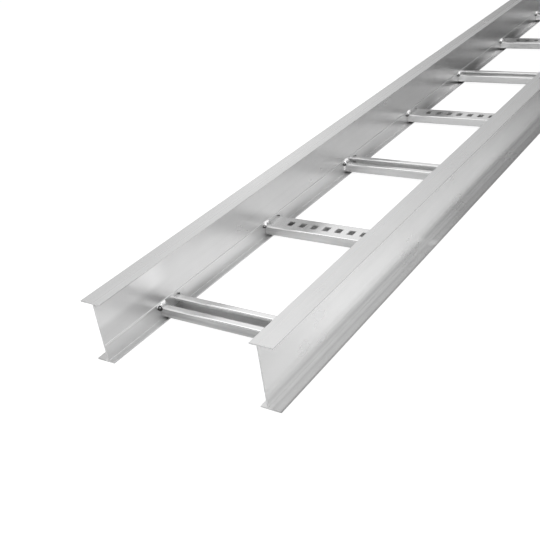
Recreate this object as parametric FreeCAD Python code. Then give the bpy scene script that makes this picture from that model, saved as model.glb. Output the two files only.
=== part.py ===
import FreeCAD
import Part

import math
import os

from FreeCAD import Vector

# Cable ladder section: two I-section side rails joined by welded strut rungs.
# Millimetres. X runs across the ladder, Y along it and Z up. The origin is the middle of the
# footprint, on the plane that the bottom flanges stand on.

# Section as a whole
SECTION_LENGTH = 3657.6
RUNG_PITCH = 304.8
FIRST_RUNG_SETBACK = 152.4
INSIDE_WIDTH = 290.4

# Side rail extrusion
RAIL_HEIGHT = 104.0
WEB_THICKNESS = 2.0
FLANGE_THICKNESS = 2.3
TOP_FLANGE_INWARD = 11.9
TOP_FLANGE_OUTWARD = 24.2
BOTTOM_FLANGE_INWARD = 11.2
BOTTOM_FLANGE_OUTWARD = 20.9
ROOT_FILLET = 0.8
FLANGE_TIP_RADIUS = 0.6
WEB_RIB_WIDTH = 3.4
WEB_RIB_APEX = 1.2
WEB_RIB_CREST_RADIUS = 1.0
WEB_RIB_GAP_ABOVE_WELD = 0.4

# Strut rung
RUNG_WIDTH = 47.6
RUNG_HEIGHT = 17.5
RUNG_WALL = 1.9
RUNG_INSIDE_BEND = 0.8
MOUTH_WIDTH = 21.0
LIP_RETURN_DEPTH = 4.6
RUNG_GAP_ABOVE_FLANGE = 2.8

# Tie slots in the back of each rung
SLOTS_PER_RUNG = 9
SLOT_PITCH = 25.4
SLOT_LENGTH = 12.7
SLOT_WIDTH = 16.0

# Weld beads at each end of a rung: one on its top near the -Y corner, one down its +Y side
WELD_LEG = 5.0
WELD_CROWN = 0.9
WELD_END_SLOPE = 3.0
WELD_GAP_AT_CORNER = 0.8
WELD_GAP_AT_MOUTH = 0.6

# Values that follow from those above
HALF_LENGTH = SECTION_LENGTH / 2
HALF_WIDTH = INSIDE_WIDTH / 2
RUNG_BOTTOM = FLANGE_THICKNESS + RUNG_GAP_ABOVE_FLANGE
RUNG_TOP = RUNG_BOTTOM + RUNG_HEIGHT
RUNG_OUTSIDE_BEND = RUNG_WALL + RUNG_INSIDE_BEND
WEB_RIB_MIDDLE = RUNG_TOP + WELD_LEG + WEB_RIB_GAP_ABOVE_WELD + WEB_RIB_WIDTH / 2
WELD_BITE = RUNG_WALL / 2
RUNG_COUNT = 1 + int((SECTION_LENGTH - 2 * FIRST_RUNG_SETBACK) / RUNG_PITCH + 0.001)


def rounded_wire(corners):
    """Closed wire through the corners, each given as (point, radius), with tangent arcs."""
    starts = []
    ends = []
    middles = []
    for index, (corner, radius) in enumerate(corners):
        before = corners[index - 1][0]
        after = corners[(index + 1) % len(corners)][0]
        arriving = (corner - before).normalize()
        leaving = (after - corner).normalize()
        turn = arriving.getAngle(leaving)
        setback = radius * math.tan(turn / 2)
        starts.append(corner - arriving * setback)
        ends.append(corner + leaving * setback)
        inward = (leaving - arriving).normalize()
        middles.append(corner + inward * (radius / math.cos(turn / 2) - radius))
    edges = []
    for index, (corner, radius) in enumerate(corners):
        if radius > 0:
            edges.append(Part.Arc(starts[index], middles[index], ends[index]).toShape())
        following = (index + 1) % len(corners)
        edges.append(Part.makeLine(ends[index], starts[following]))
    return Part.Wire(edges)


def side_rail(side):
    """I-section rail with a rounded rib along its web's inner face; side is 1 right, -1 left."""
    inner = HALF_WIDTH
    outer = HALF_WIDTH + WEB_THICKNESS
    under_top = RAIL_HEIGHT - FLANGE_THICKNESS
    outline = [
        (inner - BOTTOM_FLANGE_INWARD, 0, FLANGE_TIP_RADIUS),
        (outer + BOTTOM_FLANGE_OUTWARD, 0, FLANGE_TIP_RADIUS),
        (outer + BOTTOM_FLANGE_OUTWARD, FLANGE_THICKNESS, FLANGE_TIP_RADIUS),
        (outer, FLANGE_THICKNESS, ROOT_FILLET),
        (outer, under_top, ROOT_FILLET),
        (outer + TOP_FLANGE_OUTWARD, under_top, FLANGE_TIP_RADIUS),
        (outer + TOP_FLANGE_OUTWARD, RAIL_HEIGHT, FLANGE_TIP_RADIUS),
        (inner - TOP_FLANGE_INWARD, RAIL_HEIGHT, FLANGE_TIP_RADIUS),
        (inner - TOP_FLANGE_INWARD, under_top, FLANGE_TIP_RADIUS),
        (inner, under_top, ROOT_FILLET),
        (inner, WEB_RIB_MIDDLE + WEB_RIB_WIDTH / 2, 0),
        (inner - WEB_RIB_APEX, WEB_RIB_MIDDLE, WEB_RIB_CREST_RADIUS),
        (inner, WEB_RIB_MIDDLE - WEB_RIB_WIDTH / 2, 0),
        (inner, FLANGE_THICKNESS, ROOT_FILLET),
        (inner - BOTTOM_FLANGE_INWARD, FLANGE_THICKNESS, FLANGE_TIP_RADIUS),
    ]
    corners = [(Vector(side * x, -HALF_LENGTH, z), radius) for x, z, radius in outline]
    return Part.Face(rounded_wire(corners)).extrude(Vector(0, SECTION_LENGTH, 0))


def strut():
    """Lipped channel as long as the ladder is wide inside, back down on z = 0 and mouth up."""
    half = RUNG_WIDTH / 2
    mouth = MOUTH_WIDTH / 2
    tip = RUNG_HEIGHT - LIP_RETURN_DEPTH
    under_lip = RUNG_HEIGHT - RUNG_WALL
    right_half = [
        (half, 0, RUNG_OUTSIDE_BEND),
        (half, RUNG_HEIGHT, RUNG_OUTSIDE_BEND),
        (mouth, RUNG_HEIGHT, RUNG_OUTSIDE_BEND),
        (mouth, tip, 0),
        (mouth + RUNG_WALL, tip, 0),
        (mouth + RUNG_WALL, under_lip, RUNG_INSIDE_BEND),
        (half - RUNG_WALL, under_lip, RUNG_INSIDE_BEND),
        (half - RUNG_WALL, RUNG_WALL, RUNG_INSIDE_BEND),
    ]
    left_half = [(-y, z, radius) for y, z, radius in reversed(right_half)]
    corners = [(Vector(-HALF_WIDTH, y, z), radius) for y, z, radius in right_half + left_half]
    return Part.Face(rounded_wire(corners)).extrude(Vector(INSIDE_WIDTH, 0, 0))


def tie_slots():
    """Cutters for the row of slots along the middle of a strut's back."""
    cutters = []
    for index in range(SLOTS_PER_RUNG):
        middle = (index - (SLOTS_PER_RUNG - 1) / 2) * SLOT_PITCH
        corner = Vector(middle - SLOT_LENGTH / 2, -SLOT_WIDTH / 2, -RUNG_WALL)
        cutters.append(Part.makeBox(SLOT_LENGTH, SLOT_WIDTH, 3 * RUNG_WALL, corner))
    return cutters


def weld_bead(start, along, outward, inward, length):
    """Crowned fillet weld from a start on the web, which runs along a strut's end.

    outward points away from the strut's surface and inward away from the web. The bead bites
    into the strut's wall, so that both are one solid, and its two ends slope up to its crown.
    """
    foot = start - outward * WELD_BITE
    toe_on_strut = start + inward * WELD_LEG
    toe_on_web = start + outward * WELD_LEG
    crown = (toe_on_strut + toe_on_web) / 2 + (inward + outward).normalize() * WELD_CROWN
    edges = [
        Part.makeLine(foot, foot + inward * WELD_LEG),
        Part.makeLine(foot + inward * WELD_LEG, toe_on_strut),
        Part.Arc(toe_on_strut, crown, toe_on_web).toShape(),
        Part.makeLine(toe_on_web, foot),
    ]
    bead = Part.Face(Part.Wire(edges)).extrude(along * length)
    for end, away in ((start, -along), (start + along * length, along)):
        # Slope from the strut's surface at the bead's end up to its crown
        rise = outward * (WELD_LEG + WELD_CROWN)
        ridge = end - away * WELD_END_SLOPE + rise
        corners = [end, ridge, ridge + away * WELD_END_SLOPE + rise, end + away * WELD_LEG]
        wedge = Part.Face(Part.makePolygon([*corners, corners[0]]))
        bead = bead.cut(wedge.extrude(inward * 2 * WELD_LEG))
    return bead


def weld_beads():
    """Two beads at each end of a strut that lies with its underside on z = 0."""
    up = Vector(0, 0, 1)
    sideways = Vector(0, 1, 0)
    half = RUNG_WIDTH / 2
    top_length = half - MOUTH_WIDTH / 2 - WELD_GAP_AT_CORNER - WELD_GAP_AT_MOUTH
    side_length = RUNG_HEIGHT - 2 * RUNG_OUTSIDE_BEND
    beads = []
    for end in (-1, 1):
        inward = Vector(-end, 0, 0)
        top_start = Vector(end * HALF_WIDTH, WELD_GAP_AT_CORNER - half, RUNG_HEIGHT)
        side_start = Vector(end * HALF_WIDTH, half, RUNG_OUTSIDE_BEND)
        beads.append(weld_bead(top_start, sideways, up, inward, top_length))
        beads.append(weld_bead(side_start, up, sideways, inward, side_length))
    return beads


def rung(number):
    """Strut with its slots and welds. Odd rungs have the mouth up, even ones the slotted back."""
    shape = strut().cut(tie_slots())
    if number % 2 == 0:
        shape.rotate(Vector(0, 0, RUNG_HEIGHT / 2), Vector(1, 0, 0), 180)
    shape = shape.fuse(weld_beads()).removeSplitter().Solids[0]
    place = -HALF_LENGTH + FIRST_RUNG_SETBACK + (number - 1) * RUNG_PITCH
    shape.translate(Vector(0, place, RUNG_BOTTOM))
    return shape


def rung_name(number):
    """Name of a rung's file, which says which side is up."""
    kind = "slotted_rung" if number % 2 == 0 else "open_rung"
    return f"{kind}_{number:02d}"


def build():
    """Write every piece to its own file in parts/."""
    pieces = {"left_side_rail": side_rail(-1), "right_side_rail": side_rail(1)}
    for number in range(1, RUNG_COUNT + 1):
        pieces[rung_name(number)] = rung(number)
    os.makedirs("parts", exist_ok=True)
    for name, shape in pieces.items():
        shape.exportStep(f"parts/{name}.step")
        print(name, shape.ShapeType, len(shape.Solids), shape.isValid(), round(shape.Volume))


build()
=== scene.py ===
import math

import bpy
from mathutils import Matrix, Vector, noise


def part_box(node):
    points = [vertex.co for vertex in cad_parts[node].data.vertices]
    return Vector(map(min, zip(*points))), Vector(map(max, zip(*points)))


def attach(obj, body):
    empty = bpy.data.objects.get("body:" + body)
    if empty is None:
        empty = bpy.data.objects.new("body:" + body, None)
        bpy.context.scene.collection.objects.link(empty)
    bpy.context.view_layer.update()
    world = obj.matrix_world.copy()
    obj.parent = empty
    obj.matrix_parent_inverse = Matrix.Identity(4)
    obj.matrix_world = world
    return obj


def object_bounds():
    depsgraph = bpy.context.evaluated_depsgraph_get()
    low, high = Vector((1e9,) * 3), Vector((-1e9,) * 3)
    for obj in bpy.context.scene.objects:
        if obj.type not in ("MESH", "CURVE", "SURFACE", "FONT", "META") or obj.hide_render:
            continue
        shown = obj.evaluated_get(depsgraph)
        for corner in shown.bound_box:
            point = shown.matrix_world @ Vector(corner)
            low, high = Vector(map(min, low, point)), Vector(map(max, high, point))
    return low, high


# Dressed view of a cable ladder section, in metres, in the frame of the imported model. X runs
# across the ladder, Y along it away from its near end, which is the one in the photograph, and
# Z up from the plane that its feet stand on.

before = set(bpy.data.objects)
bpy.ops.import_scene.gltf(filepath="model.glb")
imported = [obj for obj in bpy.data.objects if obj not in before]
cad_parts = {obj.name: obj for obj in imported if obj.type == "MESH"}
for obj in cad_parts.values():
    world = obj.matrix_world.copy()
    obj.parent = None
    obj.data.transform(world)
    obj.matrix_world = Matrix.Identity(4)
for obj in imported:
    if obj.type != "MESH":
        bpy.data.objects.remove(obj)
cad_low, cad_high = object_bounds()


def rung_number(name):
    """Number at the end of a rung's name."""
    return int(name.rsplit("_", 1)[1])


RAILS = ("left_side_rail", "right_side_rail")
RUNGS = sorted((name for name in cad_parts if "rung" in name), key=rung_number)

# Camera, found from the edges of the rails and rungs in the photograph
PHOTO_SIZE = 540
FOCAL_PIXELS = 860.5
SENSOR_WIDTH = 36.0
CAMERA_TURN = (1.07661, 0.14104, 0.58294)
CAMERA_FROM_NEAR_END = Vector((0.73806, -0.71258, 0.69942))
CAMERA_CLIP_END = 200.0

# Rungs, as in the CAD model
RUNG_PITCH = 0.3048
FIRST_RUNG_SETBACK = 0.1524
RUNG_WIDTH = 0.0476
RUNG_HEIGHT = 0.0175
RUNG_WALL = 0.0019
WELD_LEG = 0.0050

# Inner face of a web, from the ladder's middle, and the heights of a rung's top and middle
WEB_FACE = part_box(RUNGS[0])[1].x
RUNG_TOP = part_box(RUNGS[0])[1].z - WELD_LEG
RUNG_MIDDLE = RUNG_TOP - RUNG_HEIGHT / 2

# Middles of the top and side welds along the ladder, from the middle of their rung
TOP_WELD_MIDDLE = -0.0170
SIDE_WELD_MIDDLE = 0.0258

# Rails, as in the CAD model: the bottom flange's tips from the ladder's middle, a height between
# the two flanges, and the height of the rib along each web
BOTTOM_FLANGE_TIPS = (0.1340, 0.1681)
BETWEEN_FLANGES = 0.05
RIB_HEIGHT = 0.0297

# Weld beads, a little fuller than the CAD model's: how far they reach from their corner
BEAD_ON_RUNG = 0.0060
BEAD_ON_WEB = 0.0086
SIDE_BEAD_ON_WEB = 0.0056
NEAR_BEAD_REACH = 0.0036

# Ripples across a bead, which bow along it at its crown, its uneven swell, its round ends, and the
# steps of its mesh
BEAD_RIPPLE = 0.0006
BEAD_RIPPLE_PITCH = 0.0031
BEAD_RIPPLE_BOW = 0.0018
BEAD_SWELL = 0.0008
SWELLS_PER_METRE = 260
SWELLS_PER_RADIAN = 0.9
BEAD_SEED_STEP = 5.7
BEAD_END = 0.0040
BEAD_END_SHARE = 0.03
BEAD_STEPS_ALONG = 56
BEAD_STEPS_ROUND = 16

# Start of each bead, from its rung's near corner or middle height, its length, and how much of
# its far or upper end is sooty
TOP_BEAD_START = -0.0016
TOP_BEAD_LENGTH = 0.0160
TOP_BEAD_SOOT = 0.0014
SIDE_BEAD_START = -0.0072
SIDE_BEAD_LENGTH = 0.0164
SIDE_BEAD_SOOT = 0.0009
SIDE_BEAD_SEED = 40

# Short third bead on the near side of some rungs
NEAR_BEAD_RUNGS = (3, 8)
NEAR_BEAD_LENGTH = 0.0120
NEAR_BEAD_SEED = 80

# Burnt crater at the end of a top bead that is at the rung's corner, as a rimmed cup
CRATER_WAY = (0.62, -0.70, 0.35)
CRATER_LIFT = 0.0040
CRATER_REACH = 0.0068
CRATER_TALLNESS = 1.15
CRATER_DEPTH = 0.0010
CRATER_RIM = 0.0018
CRATER_SKIRT = 0.0054
CRATER_IN_WEB = 0.0006
CRATER_SCALES = {1: 1.0}
OTHER_CRATER_SCALE = 0.78
CRATER_RINGS = 24
CRATER_SPOKES = 32

# Shares of the crater's reach: its bright floor, its mouth, and how far below the soot runs
CRATER_FLOOR = 0.12
CRATER_OPEN = 0.48
CRATER_BURNT_BELOW = 0.70

# Uneven rim of the crater: waves round it, and what they change of its reach and its lift
CRATER_WAVES = 1.3
CRATER_WAVE_REACH = 0.14
CRATER_WAVE_LIFT = 0.35
CRATER_SEED_STEP = 3.1

# Materials of a bead's faces, by their place in its slots
BEAD_METAL = 0
BEAD_SOOT = 1

# Values that a noise mostly stays between
NOISE_SPAN = (0.35, 0.65)

# Drawn and rolled metal: axis of its grain, and tone and roughness of each stock
ACROSS = 0
ALONG = 1
RAIL_TONE = 0.77
RAIL_ROUGHNESS = 0.26
RUNG_TONE = 0.88
RUNG_ROUGHNESS = 0.22

# Mill finish: share of fine lines among its lines, of wide clouds among its clouds and of lines
# in all, what that makes of tone and roughness, and the relief of the lines
FINE_SHARE = 0.4
WIDE_SHARE = 0.6
LINE_SHARE = 0.5
TONE_SWING = (0.965, 1.03)
ROUGHNESS_SWING = (1.08, 0.93)
LINE_STRENGTH = 0.035
LINE_DEPTH = 0.0002

# Sawn ends, by how squarely a face looks along the grain, and the slant of the saw's marks
FACING_END = (0.7, 0.9)
SAW_SLANT = (0.0, 0.35, 0.0)
SAWN_TONE_SWING = (0.95, 1.2)
SAWN_ROUGHNESS = 0.30

# Weld beads: bright metal with stained patches, and soot
BEAD_GREYS = (0.88, 0.98)
BEAD_ROUGHNESSES = (0.32, 0.18)
STAIN_GREY = 0.40
STAIN_FROM_NOISE = (0.58, 0.72)
STAIN_SHARE = 0.5
SOOT_GREYS = (0.015, 0.07)
SOOT_ROUGHNESSES = (0.9, 0.7)
GRAIN_SPAN = (0.3, 0.7)
GRAIN_DEPTH = 0.0003
BEAD_STRENGTH = 0.25
SOOT_STRENGTH = 0.5

# Greys laid on the metal: painted light, soot, painted shade, and the seam
PAINTED_LIGHT_GREY = 0.97
HALO_GREY = 0.30
BEHIND_RUNG_SHADE_GREY = 0.25
FOOT_SHADE_GREY = 0.36
RUNG_SIDE_SHADE_GREY = 0.26
SEAM_GREY = 0.12

# Distances outwards from a web's inner face over which a side of the web starts or stops
HALO_SIDE = (0.0004, 0.0002)
INNER_SIDE = (0.0012, 0.0006)
OUTER_SIDE = (0.0014, 0.0022)

# Halo of soot round a weld: how far it fades out, how ragged it is, its share of the colour and
# what it adds to the roughness
HALO_FADE = (0.0185, 0.0065)
HALO_RAGGED = 0.012
HALO_SHARE = 0.16
HALO_ROUGHNESS = 0.12

# Painted shade dulling the flanges' tips, by the distance from the tip, with nicks from a noise
TIP_SHADE_FADE = (0.0009, 0.0001)
NICK_SPAN = (0.40, 0.60)
NICK_SHARES = (0.25, 1.0)
TIP_SHADE_SHARE = 0.5
TIP_SHADE_TONE = 0.90
TIP_ROUGHNESS = 0.06

# Inner side of a web. A reach runs from the near end and a height from the feet, and the shares
# or roughnesses are those at its two ends
INNER_SIDE_ROUGHNESS = 0.03
DULL_CORNER_REACH = (0.95, 1.30)
DULL_CORNER_ROUGHNESSES = (0.16, 0.0)
DULL_CORNER_HEIGHT = (0.026, 0.010)
# Painted highlight along the rib: how deep in from the web's face it starts, and its half width
RIB_HIGHLIGHT_RISE = (-0.00003, -0.00015)
RIB_HIGHLIGHT_HALF_WIDTH = (0.0030, 0.0020)
# Painted light high on the web near the near end
NEAR_END_LIGHT_REACH = (0.12, 0.17)
NEAR_END_LIGHT_SHARES = (0.8, 0.0)
NEAR_END_LIGHT_HEIGHT = 0.079
NEAR_END_LIGHT_HALF_HEIGHT = (0.012, 0.025)
# Painted shade low in the corner just behind each rung, growing further along
BEHIND_RUNG_SHADE_REACH = (0.75, 1.40)
BEHIND_RUNG_SHADE_SHARES = (0.2, 0.7)
BEHIND_RUNG_SHADE_HEIGHT = (0.030, 0.010)
BEHIND_RUNG_SHADE_PLACE = ((0.024, 0.036), (0.085, 0.150))

# Outer side of a rail: painted light in a band low on its web, and painted shade on its foot,
# on its outer half, at its tip and further along, with one place left unshaded
LIT_BAND_HEIGHT = ((0.010, 0.017), (0.022, 0.030))
LIT_BAND_SHARE = 0.95
FOOT_TOP = (0.0040, 0.0030)
SHADED_FOOT_REACH = (0.505, 0.640)
SHADED_FOOT_SHARE = 0.28
SHADED_FOOT_OUTER_HALF = (0.0055, 0.0095)
SHADED_OUTER_HALF_SHARE = 0.34
SHADED_FOOT_TIP = (0.0020, 0.0008)
SHADED_TIP_SHARE = 0.75
UNSHADED_PLACE = 0.502
UNSHADED_HALF_LENGTH = (0.006, 0.012)

# Outer sides of a rung, with painted shade through scuff streaks, darker near the near end and towards
# the web
OUTER_SKIN = (0.0004, 0.0001)
SIDE_SHADE_REACH = (0.55, 1.40)
SIDE_SHADE_GREYS = (0.50, 0.95)
SCUFF_SHARES = (0.60, 1.0)
SIDE_SHADE_SHARE = 0.85
SCUFFED_ROUGHNESS = 0.12
WEB_SHADE_REACH = (0.30, 0.95)
WEB_SHADE_FROM_WEB = (-0.130, -0.040)
WEB_SHADE_SHARE = 0.75

# Inside of a rung: depths in its wall that part the inner face from the outer, its streaks, and
# grime on its side walls
IN_RUNG_WALL = (0.0012, 0.0016)
STREAK_GREYS = (0.90, 0.97)
GRIME_GREYS = (0.42, 0.72)
GRIME_ON_WALL = (0.0012, 0.0006)
GRIME_SHARE = 0.35
INSIDE_ROUGHNESS = 0.22

# Dark seam where a rung meets the web
SEAM_FROM_WEB = (-0.0009, -0.0003)
SEAM_SHARE = 0.55

# Top of every curve below. A curve's point is a place from 0 to 1 and the level there
CURVE_TOP = 1.5

# Floor. Its curves run along the ladder from the near end, over the span
FLOOR_HALF_SIZE = 30.0
FLOOR_DROP = 0.0004
FLOOR_SPAN = 2.0
# Painted shade in the floor's tone: darker far along, with one lighter band in the dark far part
FLOOR_SHADED_TONE = (
    (0.0, 0.28),
    (0.50, 0.28),
    (0.66, 0.23),
    (0.72, 0.06),
    (0.78, 0.06),
    (0.815, 0.20),
    (0.85, 0.06),
    (1.0, 0.06),
)
# Painted pool of light in the floor's glow, seen only in the metal, brightest near the near end
FLOOR_GLOW = (
    (0.0, 0.10),
    (0.06, 0.21),
    (0.14, 0.37),
    (0.20, 0.34),
    (0.27, 0.26),
    (0.35, 0.22),
    (0.45, 0.17),
    (0.65, 0.0),
    (1.0, 0.0),
)

# Painted strip of light on the floor along the right rail, from its outer edge, seen only in the metal
GLOW_BESIDE = 0.14
GLOW_BESIDE_RISE = (-0.012, 0.004)
GLOW_BESIDE_FALL = (0.004, 0.050)

# What the floor gives the camera of its own, less a share of its tone, which the sky lights too
FLOOR_TO_CAMERA = 0.985
FLOOR_TONE_SHARE = 0.3

# Sheen of the floor in the metal
FLOOR_SHEEN = 0.42
FLOOR_SHEEN_ROUGHNESS = 0.2

# Sky by its direction: across to either side, and for the sky beyond the far end, up on its left
# and up on its right
SKY_ACROSS = (
    (0.0, 0.62),
    (0.30, 0.75),
    (0.42, 0.93),
    (0.52, 1.08),
    (0.56, 1.10),
    (0.60, 0.97),
    (0.65, 0.85),
    (0.70, 0.80),
    (1.0, 0.75),
)
SKY_UP = (
    (0.0, 0.12),
    (0.20, 0.24),
    (0.25, 0.47),
    (0.30, 0.88),
    (0.36, 0.91),
    (0.52, 0.87),
    (0.60, 0.98),
    (0.68, 1.22),
    (1.0, 1.36),
)
SKY_RIGHT_UP = (
    (0.0, 0.60),
    (0.10, 0.45),
    (0.19, 0.08),
    (0.26, 0.05),
    (0.29, 0.12),
    (0.32, 0.36),
    (0.38, 0.63),
    (0.43, 0.76),
    (0.47, 0.80),
    (0.52, 0.92),
    (0.60, 1.00),
    (0.68, 1.18),
    (1.0, 1.36),
)
RIGHT_EDGE = (-0.10, 0.20)

# Sky beyond the near end: brighter low down and to the right, with one dim spot
BEHIND_EDGE = (-0.35, -0.60)
BEHIND_LOW = 1.6
BEHIND_LOW_EDGE = (0.36, 0.60)
BEHIND_RIGHT = 1.1
BEHIND_RIGHT_EDGE = (0.0, 0.4)
DIM_WAY = (-0.60, -0.65, 0.46)
DIM_LEVEL = 0.05
DIM_EDGE = (0.945, 0.972)


def grey(level):
    """Neutral colour."""
    return (level, level, level, 1)


class Tree:
    """Short ways to add nodes; a value is a number, a colour or another node's output."""

    def __init__(self, node_tree):
        self.nodes = node_tree.nodes
        self.links = node_tree.links

    def feed(self, socket, value):
        """Links an input to an output, or sets its value."""
        if isinstance(value, bpy.types.NodeSocket):
            self.links.new(value, socket)
        else:
            socket.default_value = value

    def add(self, kind, inputs=None, **settings):
        """New node."""
        node = self.nodes.new(kind)
        for key, value in settings.items():
            setattr(node, key, value)
        for key, value in (inputs or {}).items():
            self.feed(node.inputs[key], value)
        return node

    def maths(self, operation, *values):
        """Result of one Math node."""
        return self.add("ShaderNodeMath", dict(enumerate(values)), operation=operation).outputs[0]

    def total(self, first, *others):
        """Sum of values."""
        for other in others:
            first = self.maths("ADD", first, other)
        return first

    def product(self, first, *others):
        """Product of values."""
        for other in others:
            first = self.maths("MULTIPLY", first, other)
        return first

    def less(self, value, other):
        """First value less the other."""
        return self.maths("SUBTRACT", value, other)

    def distance(self, value, other):
        """Distance between two values."""
        return self.maths("ABSOLUTE", self.less(value, other))

    def length(self, *parts):
        """Length of a vector given by its parts."""
        return self.maths("SQRT", self.total(*(self.product(part, part) for part in parts)))

    def blend(self, factor, low, high):
        """Value between two."""
        return self.total(low, self.product(self.less(high, low), factor))

    def spread(self, value, from_low, from_high, to_low=0, to_high=1, smooth=False):
        """Value mapped from one range to another and held within it."""
        inputs = {
            "Value": value,
            "From Min": from_low,
            "From Max": from_high,
            "To Min": to_low,
            "To Max": to_high,
        }
        kind = "SMOOTHSTEP" if smooth else "LINEAR"
        return self.add("ShaderNodeMapRange", inputs, interpolation_type=kind).outputs["Result"]

    def band(self, value, rise, fall, smooth=False):
        """1 between a rise and a fall, each given by its two ends, and 0 beyond them."""
        return self.product(
            self.spread(value, *rise, 0, 1, smooth),
            self.spread(value, *fall, 1, 0, smooth),
        )

    def curve(self, value, points):
        """Level on a smooth curve through points."""
        node = self.add("ShaderNodeFloatCurve", {"Value": value})
        node.mapping.clip_max_y = CURVE_TOP
        curve = node.mapping.curves[0]
        curve.points[0].location = points[0]
        curve.points[1].location = points[-1]
        for point in points[1:-1]:
            curve.points.new(*point)
        node.mapping.update()
        return node.outputs["Value"]

    def axes(self, vector):
        """Outputs with the three parts of a vector."""
        return self.add("ShaderNodeSeparateXYZ", {0: vector}).outputs

    def noise(self, place, scale, detail, roughness=0.5, stretch=(1, 1, 1)):
        """Noise from 0 to 1 at a place, stretched by a scale on each axis."""
        mapped = self.add("ShaderNodeMapping", {"Vector": place, "Scale": stretch})
        inputs = {
            "Vector": mapped.outputs["Vector"],
            "Scale": scale,
            "Detail": detail,
            "Roughness": roughness,
        }
        return self.add("ShaderNodeTexNoise", inputs).outputs["Fac"]

    def from_noise(self, level, low, high):
        """Value between two that follows a noise over its usual span."""
        return self.spread(level, *NOISE_SPAN, low, high)

    def mix(self, factor, low, high):
        """Colour between two."""
        return self.add("ShaderNodeMix", {0: factor, 6: low, 7: high}, data_type="RGBA").outputs[2]

    def neutral(self, level):
        """Neutral colour of a level that varies."""
        return self.add("ShaderNodeCombineColor", dict.fromkeys(range(3), level)).outputs[0]


class Skin(Tree):
    """Material with a Principled shader, whose colour and roughness are laid on in turn."""

    def __init__(self, name):
        self.material = bpy.data.materials.new(name)
        self.material.use_nodes = True
        super().__init__(self.material.node_tree)
        coordinates = self.add("ShaderNodeTexCoord").outputs
        self.place = coordinates["Object"]
        self.normal = coordinates["Normal"]
        self.colour = grey(1)
        self.roughness = 0

    def tint(self, mask, level):
        """Lays a grey over the colour by a mask."""
        self.colour = self.mix(mask, self.colour, grey(level))

    def dull(self, mask, more):
        """Adds roughness by a mask."""
        self.roughness = self.total(self.roughness, self.product(mask, more))

    def finish(self, relief, strength, depth, metallic=1.0):
        """Feeds the shader, with a noise as its relief, and returns the material."""
        bump = self.add("ShaderNodeBump", {"Height": relief, "Strength": strength, "Distance": depth})
        inputs = self.nodes["Principled BSDF"].inputs
        self.feed(inputs["Base Color"], self.colour)
        self.feed(inputs["Roughness"], self.roughness)
        self.feed(inputs["Normal"], bump.outputs["Normal"])
        inputs["Metallic"].default_value = metallic
        return self.material


class LadderMetal(Skin):
    """Bare mill-finish aluminium, with lines along the way it was drawn or rolled and soft clouds.

    It holds a place's distance from the ladder's middle, outwards from a web's inner face, from
    the near end, from the middle of the nearest rung, and up from the feet.
    """

    def __init__(self, name, grain, tone, rough):
        super().__init__(name)
        self.grain = grain
        self.tone = tone
        x, y, self.height = self.axes(self.place)
        self.from_middle = self.maths("ABSOLUTE", x)
        self.from_web = self.less(self.from_middle, WEB_FACE)
        self.from_end = self.less(y, cad_low.y)
        past_first = self.less(self.from_end, FIRST_RUNG_SETBACK)
        steps = self.maths("ROUND", self.maths("DIVIDE", past_first, RUNG_PITCH))
        self.from_rung = self.less(past_first, self.product(steps, RUNG_PITCH))

        fine = self.noise(self.place, scale=900, detail=2, stretch=self.drawn(0.006))
        bands = self.noise(self.place, scale=120, detail=2, stretch=self.drawn(0.008))
        clouds = self.noise(self.place, scale=7, detail=4, roughness=0.55)
        mottle = self.noise(self.place, scale=60, detail=3, stretch=self.drawn(0.35))
        self.lines = self.blend(FINE_SHARE, bands, fine)
        soft = self.blend(WIDE_SHARE, mottle, clouds)
        level = self.from_noise(self.blend(LINE_SHARE, soft, self.lines), 0, 1)
        self.colour = self.mix(level, *(grey(tone * swing) for swing in TONE_SWING))
        self.roughness = self.from_noise(soft, *(rough * swing for swing in ROUGHNESS_SWING))

    def drawn(self, scale):
        """Stretch of a noise that is drawn out along the grain."""
        return [scale if axis == self.grain else 1.0 for axis in range(3)]

    def saw_ends(self):
        """Rough faces across the grain, with the saw's marks."""
        facing = self.maths("ABSOLUTE", self.axes(self.normal)[self.grain])
        end = self.spread(facing, *FACING_END)
        slanted = self.add("ShaderNodeMapping", {"Vector": self.place, "Rotation": SAW_SLANT})
        marks = self.noise(slanted.outputs["Vector"], scale=1400, detail=2, stretch=(1, 1, 0.05))
        tones = (min(self.tone * swing, 1) for swing in SAWN_TONE_SWING)
        sawn = self.mix(self.from_noise(marks, 0, 1), *map(grey, tones))
        self.colour = self.mix(end, self.colour, sawn)
        self.dull(end, SAWN_ROUGHNESS)

    def soot_welds(self):
        """Soot and a dulled skin round the welds."""
        middles = ((TOP_WELD_MIDDLE, RUNG_TOP), (SIDE_WELD_MIDDLE, RUNG_MIDDLE))
        to_top, to_side = (
            self.length(self.from_web, self.less(self.from_rung, along), self.less(self.height, height))
            for along, height in middles
        )
        ragged = self.less(self.noise(self.place, scale=170, detail=4, roughness=0.6), 0.5)
        to_weld = self.total(self.maths("MINIMUM", to_top, to_side), self.product(ragged, HALO_RAGGED))
        halo = self.product(
            self.spread(to_weld, *HALO_FADE, smooth=True),
            self.spread(self.from_web, *HALO_SIDE),
        )
        self.tint(self.product(halo, HALO_SHARE), HALO_GREY)
        self.dull(halo, HALO_ROUGHNESS)


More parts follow.
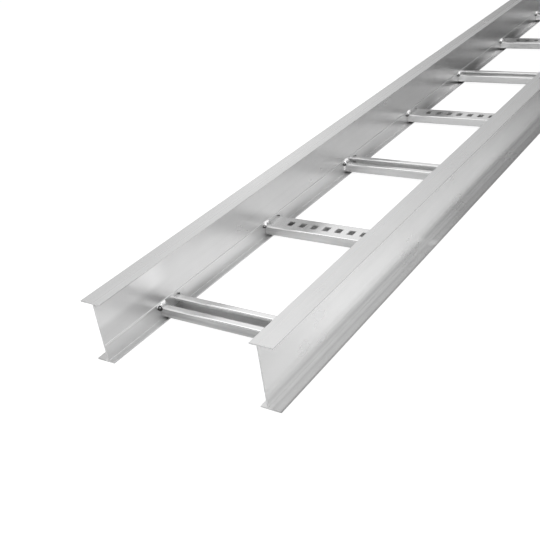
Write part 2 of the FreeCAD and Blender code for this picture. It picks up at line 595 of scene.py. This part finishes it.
def shade_flange_tips(skin):
    """Painted shade on the flanges' tips, which dulls their highlight, with nicks from a noise."""
    low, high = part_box(RAILS[1])
    to_top, to_bottom = (
        skin.maths("MINIMUM", *(skin.distance(skin.from_middle, tip) for tip in tips))
        for tips in ((low.x, high.x), BOTTOM_FLANGE_TIPS)
    )
    is_top = skin.maths("GREATER_THAN", skin.height, BETWEEN_FLANGES)
    nicks = skin.noise(skin.place, scale=260, detail=3, roughness=0.6, stretch=skin.drawn(0.2))
    tip_shade = skin.product(
        skin.spread(skin.blend(is_top, to_bottom, to_top), *TIP_SHADE_FADE, smooth=True),
        skin.spread(nicks, *NICK_SPAN, *NICK_SHARES),
    )
    # Painted shade on the tips, standing in for their darker edge reflection
    skin.tint(skin.product(tip_shade, TIP_SHADE_SHARE), skin.tone * TIP_SHADE_TONE)
    skin.dull(tip_shade, TIP_ROUGHNESS)


def paint_inner_side_light_and_shade(skin):
    """Inner side of a web: dull low corner, painted highlight on the rib, painted light high near the
    near end, painted shade behind the rungs.
    """
    inner = skin.spread(skin.from_web, *INNER_SIDE)
    corner = skin.product(
        skin.spread(skin.height, *DULL_CORNER_HEIGHT, smooth=True),
        skin.spread(skin.from_end, *DULL_CORNER_REACH, *DULL_CORNER_ROUGHNESSES),
    )
    skin.dull(inner, skin.total(corner, INNER_SIDE_ROUGHNESS))

    # Painted highlight on the rib
    rib = skin.product(
        skin.spread(skin.from_web, *RIB_HIGHLIGHT_RISE),
        skin.spread(skin.distance(skin.height, RIB_HEIGHT), *RIB_HIGHLIGHT_HALF_WIDTH),
    )
    skin.tint(rib, PAINTED_LIGHT_GREY)

    # Painted light high on the inner side near the near end, where a darker reflection falls
    off_patch = skin.distance(skin.height, NEAR_END_LIGHT_HEIGHT)
    near_end_light = skin.product(
        inner,
        skin.spread(skin.from_end, *NEAR_END_LIGHT_REACH, *NEAR_END_LIGHT_SHARES, smooth=True),
        skin.spread(off_patch, *NEAR_END_LIGHT_HALF_HEIGHT, 1, 0, smooth=True),
    )
    skin.tint(near_end_light, PAINTED_LIGHT_GREY)

    # Painted shade low in the corner just behind each rung
    painted_shade = skin.product(
        inner,
        skin.band(skin.from_rung, *BEHIND_RUNG_SHADE_PLACE),
        skin.spread(skin.height, *BEHIND_RUNG_SHADE_HEIGHT),
        skin.spread(skin.from_end, *BEHIND_RUNG_SHADE_REACH, *BEHIND_RUNG_SHADE_SHARES),
    )
    skin.tint(painted_shade, BEHIND_RUNG_SHADE_GREY)


def paint_outer_side_light_and_shade(skin):
    """Outer side of a rail: a band of painted light low on its web and painted shade on its foot."""
    outer = skin.spread(skin.from_web, *OUTER_SIDE)
    # Painted light in a band low on the web's outer face
    lit_band = skin.band(skin.height, *LIT_BAND_HEIGHT, smooth=True)
    skin.tint(skin.product(lit_band, outer, LIT_BAND_SHARE), PAINTED_LIGHT_GREY)

    # Painted shade on the foot: further along and on its outer half, with one place left unshaded
    further = skin.spread(skin.from_end, *SHADED_FOOT_REACH, 0, SHADED_FOOT_SHARE)
    half_share = (0, SHADED_OUTER_HALF_SHARE)
    outer_half = skin.spread(skin.from_web, *SHADED_FOOT_OUTER_HALF, *half_share, smooth=True)
    painted_shade = skin.product(
        outer,
        skin.spread(skin.height, *FOOT_TOP),
        skin.total(further, outer_half),
        skin.spread(skin.distance(skin.from_end, UNSHADED_PLACE), *UNSHADED_HALF_LENGTH),
    )
    skin.tint(painted_shade, FOOT_SHADE_GREY)

    # Painted shade at the foot's tip
    to_tip = skin.distance(skin.from_middle, BOTTOM_FLANGE_TIPS[1])
    tip = skin.product(
        skin.spread(to_tip, *SHADED_FOOT_TIP, 0, SHADED_TIP_SHARE, smooth=True),
        skin.maths("LESS_THAN", skin.height, BETWEEN_FLANGES),
    )
    skin.tint(tip, FOOT_SHADE_GREY)


def rail_metal():
    """Extruded metal of the rails."""
    skin = LadderMetal("rail_aluminium", ALONG, RAIL_TONE, RAIL_ROUGHNESS)
    shade_flange_tips(skin)
    skin.saw_ends()
    skin.soot_welds()
    paint_inner_side_light_and_shade(skin)
    paint_outer_side_light_and_shade(skin)
    return skin.finish(skin.lines, LINE_STRENGTH, LINE_DEPTH)


def shade_rung_sides(skin, off_middle, scuffs):
    """Outer sides of a rung: painted shade through scuff streaks, darker near the near end and towards
    the web.
    """
    side = skin.spread(off_middle, *(RUNG_WIDTH / 2 - depth for depth in OUTER_SKIN))
    lighter_far = skin.spread(skin.from_end, *SIDE_SHADE_REACH)
    web_shade = skin.product(
        skin.spread(skin.from_web, *WEB_SHADE_FROM_WEB, 0, WEB_SHADE_SHARE, smooth=True),
        skin.spread(skin.from_end, *WEB_SHADE_REACH, 1, 0),
    )
    # Painted shade on the rung's sides, darker near the near end and towards the web
    shaded_side = skin.mix(lighter_far, *map(grey, SIDE_SHADE_GREYS))
    shaded_side = skin.mix(web_shade, shaded_side, grey(RUNG_SIDE_SHADE_GREY))
    skin.colour = skin.mix(skin.product(side, scuffs, SIDE_SHADE_SHARE), skin.colour, shaded_side)
    skin.dull(side, SCUFFED_ROUGHNESS)


def grime_rung_inside(skin, off_middle, streaks, scuffs):
    """Inside of a rung: bright and streaky, with grime on its walls."""
    inside = skin.product(
        skin.spread(off_middle, *(RUNG_WIDTH / 2 - depth for depth in IN_RUNG_WALL)),
        skin.spread(
            skin.distance(skin.height, RUNG_MIDDLE),
            *(RUNG_HEIGHT / 2 - depth for depth in IN_RUNG_WALL),
        ),
    )
    inner_face = RUNG_WIDTH / 2 - RUNG_WALL
    near_wall = (inner_face - depth for depth in GRIME_ON_WALL)
    at_wall = skin.spread(off_middle, *near_wall, 0, GRIME_SHARE)
    streaky = skin.mix(streaks, *map(grey, STREAK_GREYS))
    grimy = skin.mix(scuffs, *map(grey, GRIME_GREYS))
    skin.colour = skin.mix(inside, skin.colour, skin.mix(at_wall, streaky, grimy))
    skin.dull(inside, INSIDE_ROUGHNESS)


def rung_metal():
    """Rolled metal of the strut rungs, with painted shade on their sides and a dark seam where they
    meet the web.
    """
    skin = LadderMetal("rung_aluminium", ACROSS, RUNG_TONE, RUNG_ROUGHNESS)
    skin.saw_ends()
    skin.soot_welds()
    off_middle = skin.maths("ABSOLUTE", skin.from_rung)
    streaks = skin.noise(skin.place, scale=210, detail=3, roughness=0.6, stretch=skin.drawn(0.03))
    scuffs = skin.from_noise(streaks, *SCUFF_SHARES)
    shade_rung_sides(skin, off_middle, scuffs)
    grime_rung_inside(skin, off_middle, streaks, scuffs)
    skin.tint(skin.spread(skin.from_web, *SEAM_FROM_WEB, 0, SEAM_SHARE, smooth=True), SEAM_GREY)
    return skin.finish(skin.lines, LINE_STRENGTH, LINE_DEPTH)


def weld_metal():
    """Bright, slightly uneven metal of a weld bead."""
    skin = Skin("weld_metal")
    grain = skin.noise(skin.place, scale=700, detail=3)
    patches = skin.noise(skin.place, scale=220, detail=2)
    skin.colour = skin.mix(skin.from_noise(grain, 0, 1), *map(grey, BEAD_GREYS))
    skin.tint(skin.spread(patches, *STAIN_FROM_NOISE, 0, STAIN_SHARE), STAIN_GREY)
    skin.roughness = skin.spread(grain, *GRAIN_SPAN, *BEAD_ROUGHNESSES)
    return skin.finish(grain, BEAD_STRENGTH, GRAIN_DEPTH)


def weld_soot():
    """Black smut burnt into a crater."""
    skin = Skin("weld_soot")
    grain = skin.noise(skin.place, scale=900, detail=4, roughness=0.6)
    skin.colour = skin.mix(skin.from_noise(grain, 0, 1), *map(grey, SOOT_GREYS))
    skin.roughness = skin.spread(grain, *GRAIN_SPAN, *SOOT_ROUGHNESSES)
    return skin.finish(grain, SOOT_STRENGTH, GRAIN_DEPTH, metallic=0.0)


def dress(node, material):
    """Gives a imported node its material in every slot."""
    slots = node.data.materials
    if not slots:
        slots.append(material)
    for index in range(len(slots)):
        slots[index] = material


class Patch:
    """Points and faces of one mesh, gathered from grids; each face has its material's place."""

    def __init__(self):
        self.points = []
        self.faces = []
        self.kinds = []

    def grid(self, rows, flip, kind_of=lambda row, column: BEAD_METAL):
        """Adds rows of points, joined by quads between each row and the next."""
        base = len(self.points)
        columns = len(rows[0])
        for row in rows:
            self.points += row
        for i in range(len(rows) - 1):
            for j in range(columns - 1):
                a = base + i * columns + j
                quad = (a, a + 1, a + columns + 1, a + columns)
                self.faces.append(tuple(reversed(quad)) if flip else quad)
                self.kinds.append(kind_of(i, j))

    def piece(self, name, materials):
        """The finished object, riding on the ladder."""
        mesh = bpy.data.meshes.new(name)
        mesh.from_pydata(self.points, [], self.faces)
        for material in materials:
            mesh.materials.append(material)
        mesh.polygons.foreach_set("material_index", self.kinds)
        mesh.polygons.foreach_set("use_smooth", [True] * len(mesh.polygons))
        mesh.validate()
        item = bpy.data.objects.new(name, mesh)
        bpy.context.scene.collection.objects.link(item)
        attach(item, "root")
        return item


def bead_rows(start, along, outward, inward, length, on_rung, on_web, seed):
    """Rows of points of a rippled, round-ended bead in the corner of a web and a strut."""
    rows = []
    for i in range(BEAD_STEPS_ALONG + 1):
        distance = length * i / BEAD_STEPS_ALONG
        end_share = min(distance, length - distance, BEAD_END) / BEAD_END
        taper = max(math.sqrt(1 - (1 - end_share) ** 2), BEAD_END_SHARE)
        row = []
        for j in range(BEAD_STEPS_ROUND + 1):
            angle = math.radians(90) * j / BEAD_STEPS_ROUND
            phase = (distance - BEAD_RIPPLE_BOW * math.sin(2 * angle)) / BEAD_RIPPLE_PITCH
            ripple = BEAD_RIPPLE * (abs(math.sin(math.pi * phase)) - 0.5)
            spot = (distance * SWELLS_PER_METRE, angle * SWELLS_PER_RADIAN, seed * BEAD_SEED_STEP)
            extra = ripple + BEAD_SWELL * noise.noise(Vector(spot))
            row.append(
                start
                + along * distance
                + inward * ((on_rung + extra) * taper * math.cos(angle))
                + outward * ((on_web + extra) * taper * math.sin(angle))
            )
        rows.append(row)
    return rows


def add_beads(patch, number, end, near_side):
    """Beads at one end of a rung, -1 for left and 1 for right; near_side is its place along Y."""
    up = Vector((0, 0, 1))
    back = Vector((0, 1, 0))
    inward = Vector((-end, 0, 0))
    web = end * WEB_FACE
    seed = number * 2 + (end > 0)

    clean_rows = round(BEAD_STEPS_ALONG * (1 - TOP_BEAD_SOOT / TOP_BEAD_LENGTH))
    start = Vector((web, near_side + TOP_BEAD_START, RUNG_TOP))
    rows = bead_rows(start, back, up, inward, TOP_BEAD_LENGTH, BEAD_ON_RUNG, BEAD_ON_WEB, seed)
    patch.grid(rows, end < 0, lambda row, column: BEAD_SOOT if row > clean_rows else BEAD_METAL)

    clean_side_rows = round(BEAD_STEPS_ALONG * (1 - SIDE_BEAD_SOOT / SIDE_BEAD_LENGTH))
    start = Vector((web, near_side + RUNG_WIDTH, RUNG_MIDDLE + SIDE_BEAD_START))
    sizes = (SIDE_BEAD_LENGTH, BEAD_ON_RUNG, SIDE_BEAD_ON_WEB)
    rows = bead_rows(start, up, back, inward, *sizes, seed + SIDE_BEAD_SEED)
    patch.grid(rows, end > 0, lambda row, column: BEAD_SOOT if row > clean_side_rows else BEAD_METAL)

    if number in NEAR_BEAD_RUNGS:
        start = Vector((web, near_side, RUNG_MIDDLE - NEAR_BEAD_LENGTH / 2))
        sizes = (NEAR_BEAD_LENGTH, NEAR_BEAD_REACH, NEAR_BEAD_REACH)
        rows = bead_rows(start, up, -back, inward, *sizes, seed + NEAR_BEAD_SEED)
        patch.grid(rows, end < 0)


def crater_height(share):
    """Height of a crater's surface at a share of its reach: a cup, its rim and its skirt."""
    if share < CRATER_OPEN:
        return (CRATER_RIM + CRATER_DEPTH) * (share / CRATER_OPEN) ** 3 - CRATER_DEPTH
    past = (share - CRATER_OPEN) / (1 - CRATER_OPEN)
    return (CRATER_RIM + CRATER_SKIRT) * math.cos(past * math.pi / 2) - CRATER_SKIRT


def crater_rows(middle, facing, scale, seed):
    """Rings of points of a crater, from its middle outwards and down its skirt into a web."""
    side = facing.cross(Vector((0, 0, 1))).normalized()
    rise = side.cross(facing) * CRATER_TALLNESS
    deepest = WEB_FACE + CRATER_IN_WEB
    rows = []
    for ring in range(CRATER_RINGS + 1):
        share = ring / CRATER_RINGS
        row = []
        for spoke in range(CRATER_SPOKES + 1):
            angle = 2 * math.pi * spoke / CRATER_SPOKES
            across = math.cos(angle)
            upward = math.sin(angle)
            spot = (across * CRATER_WAVES, upward * CRATER_WAVES, seed * CRATER_SEED_STEP)
            wave = noise.noise(Vector(spot))
            reach = CRATER_REACH * share * (1 + CRATER_WAVE_REACH * wave) * scale
            lift = crater_height(share) * (1 + CRATER_WAVE_LIFT * wave) * scale
            point = middle + (side * across + rise * upward) * reach + facing * lift
            point.x = max(-deepest, min(deepest, point.x))
            row.append(point)
        rows.append(row)
    return rows


def is_burnt(ring, spoke):
    """Whether a crater's face is sooty: from the bright floor to the mouth, and further below."""
    below = spoke > CRATER_SPOKES / 2
    last = CRATER_BURNT_BELOW if below else CRATER_OPEN
    return round(CRATER_RINGS * CRATER_FLOOR) <= ring < round(CRATER_RINGS * last)


def add_crater(patch, number, end, near_side):
    """The crater at the near corner of one end of a rung."""
    across, along, up = CRATER_WAY
    facing = Vector((-end * across, along, up)).normalized()
    scale = CRATER_SCALES.get(number, OTHER_CRATER_SCALE)
    middle = Vector((end * WEB_FACE, near_side, RUNG_TOP)) + facing * (CRATER_LIFT * scale)
    rows = crater_rows(middle, facing, scale, number * 2 + (end > 0))
    patch.grid(rows, False, lambda ring, spoke: BEAD_SOOT if is_burnt(ring, spoke) else BEAD_METAL)


def weld_beads(rung_name, materials):
    """The beads and craters at both ends of one rung, as one piece."""
    number = rung_number(rung_name)
    rung_middle = cad_low.y + FIRST_RUNG_SETBACK + (number - 1) * RUNG_PITCH
    near_side = rung_middle - RUNG_WIDTH / 2
    patch = Patch()
    for end in (-1, 1):
        add_beads(patch, number, end, near_side)
        add_crater(patch, number, end, near_side)
    return patch.piece(f"weld_beads_{number:02d}", materials)


def floor_material():
    """Pale ground, white to the camera, keeping the shadow, with painted shade and painted light in the
    metal.
    """
    material = bpy.data.materials.new("floor")
    material.use_nodes = True
    tree = Tree(material.node_tree)
    tree.nodes.remove(tree.nodes["Principled BSDF"])
    x, y, _ = tree.axes(tree.add("ShaderNodeTexCoord").outputs["Object"])
    path = tree.add("ShaderNodeLightPath").outputs
    mirrored = tree.maths("MAXIMUM", path["Is Glossy Ray"], path["Is Transmission Ray"])

    share = tree.spread(y, cad_low.y, cad_low.y + FLOOR_SPAN)
    # Floor's tone with painted shade along the ladder
    tone = tree.curve(share, FLOOR_SHADED_TONE)
    past_rail = tree.less(x, cad_high.x)
    beside = tree.product(
        tree.spread(past_rail, *GLOW_BESIDE_RISE, 0, GLOW_BESIDE, smooth=True),
        tree.spread(past_rail, *GLOW_BESIDE_FALL, 1, 0),
    )
    # Painted pool of light, and the strip beside the right rail, seen only in the metal
    to_metal = tree.total(tree.curve(share, FLOOR_GLOW), beside)
    to_camera = tree.less(FLOOR_TO_CAMERA, tree.product(tone, FLOOR_TONE_SHARE))
    glow = tree.total(
        tree.product(path["Is Camera Ray"], to_camera),
        tree.product(mirrored, to_metal),
    )

    diffuse = tree.add("ShaderNodeBsdfDiffuse", {"Color": tree.neutral(tone)})
    sheen_colour = tree.neutral(tree.product(mirrored, FLOOR_SHEEN))
    sheen_inputs = {"Color": sheen_colour, "Roughness": FLOOR_SHEEN_ROUGHNESS}
    sheen = tree.add("ShaderNodeBsdfAnisotropic", sheen_inputs)
    shine = tree.add("ShaderNodeEmission", {"Color": grey(1), "Strength": glow})
    lit = tree.add("ShaderNodeAddShader", {0: diffuse.outputs[0], 1: sheen.outputs[0]})
    whole = tree.add("ShaderNodeAddShader", {0: lit.outputs[0], 1: shine.outputs[0]})
    tree.feed(tree.nodes["Material Output"].inputs["Surface"], whole.outputs[0])
    return material


def floor():
    """Wide square just under the feet."""
    half = FLOOR_HALF_SIZE
    z = cad_low.z - FLOOR_DROP
    mesh = bpy.data.meshes.new("floor")
    corners = [(-half, -half, z), (half, -half, z), (half, half, z), (-half, half, z)]
    mesh.from_pydata(corners, [], [(0, 1, 2, 3)])
    mesh.materials.append(floor_material())
    plane = bpy.data.objects.new("floor", mesh)
    bpy.context.scene.collection.objects.link(plane)


def studio():
    """Soft light from all round, by its direction; the camera itself sees white."""
    world = bpy.data.worlds.new("studio")
    bpy.context.scene.world = world
    world.use_nodes = True
    tree = Tree(world.node_tree)
    way = tree.add("ShaderNodeTexCoord").outputs["Generated"]
    across, ahead, up = tree.axes(way)
    is_right = tree.spread(across, *RIGHT_EDGE, smooth=True)
    is_behind = tree.spread(ahead, *BEHIND_EDGE, smooth=True)

    sideways = tree.curve(tree.maths("ABSOLUTE", across), SKY_ACROSS)
    on_left = tree.product(sideways, tree.curve(up, SKY_UP))
    in_front = tree.blend(is_right, on_left, tree.curve(up, SKY_RIGHT_UP))
    behind = tree.product(
        sideways,
        tree.spread(up, *BEHIND_LOW_EDGE, BEHIND_LOW, 1, smooth=True),
        tree.spread(across, *BEHIND_RIGHT_EDGE, 1, BEHIND_RIGHT, smooth=True),
    )
    towards = tree.add("ShaderNodeVectorMath", {0: way, 1: DIM_WAY}, operation="DOT_PRODUCT")
    dim = tree.spread(towards.outputs["Value"], *DIM_EDGE, 1, DIM_LEVEL, smooth=True)
    level = tree.product(tree.blend(is_behind, in_front, behind), dim)
    path = tree.add("ShaderNodeLightPath").outputs
    level = tree.blend(path["Is Camera Ray"], level, 1.0)
    tree.feed(tree.nodes["Background"].inputs["Color"], tree.neutral(level))


def camera():
    """Camera at the photograph's viewpoint."""
    data = bpy.data.cameras.new("camera")
    data.sensor_fit = "HORIZONTAL"
    data.sensor_width = SENSOR_WIDTH
    data.lens = FOCAL_PIXELS * SENSOR_WIDTH / PHOTO_SIZE
    data.clip_end = CAMERA_CLIP_END
    item = bpy.data.objects.new("camera", data)
    item.rotation_euler = CAMERA_TURN
    item.location = Vector((0, cad_low.y, cad_low.z)) + CAMERA_FROM_NEAR_END
    bpy.context.scene.collection.objects.link(item)
    bpy.context.scene.camera = item


def main():
    """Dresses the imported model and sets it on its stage."""
    bpy.context.scene.view_settings.view_transform = "Standard"
    rail = rail_metal()
    rung = rung_metal()
    bead_materials = (weld_metal(), weld_soot())
    for name in RAILS:
        dress(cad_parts[name], rail)
    for name in RUNGS:
        dress(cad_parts[name], rung)
        weld_beads(name, bead_materials)
    floor()
    studio()
    camera()


main()
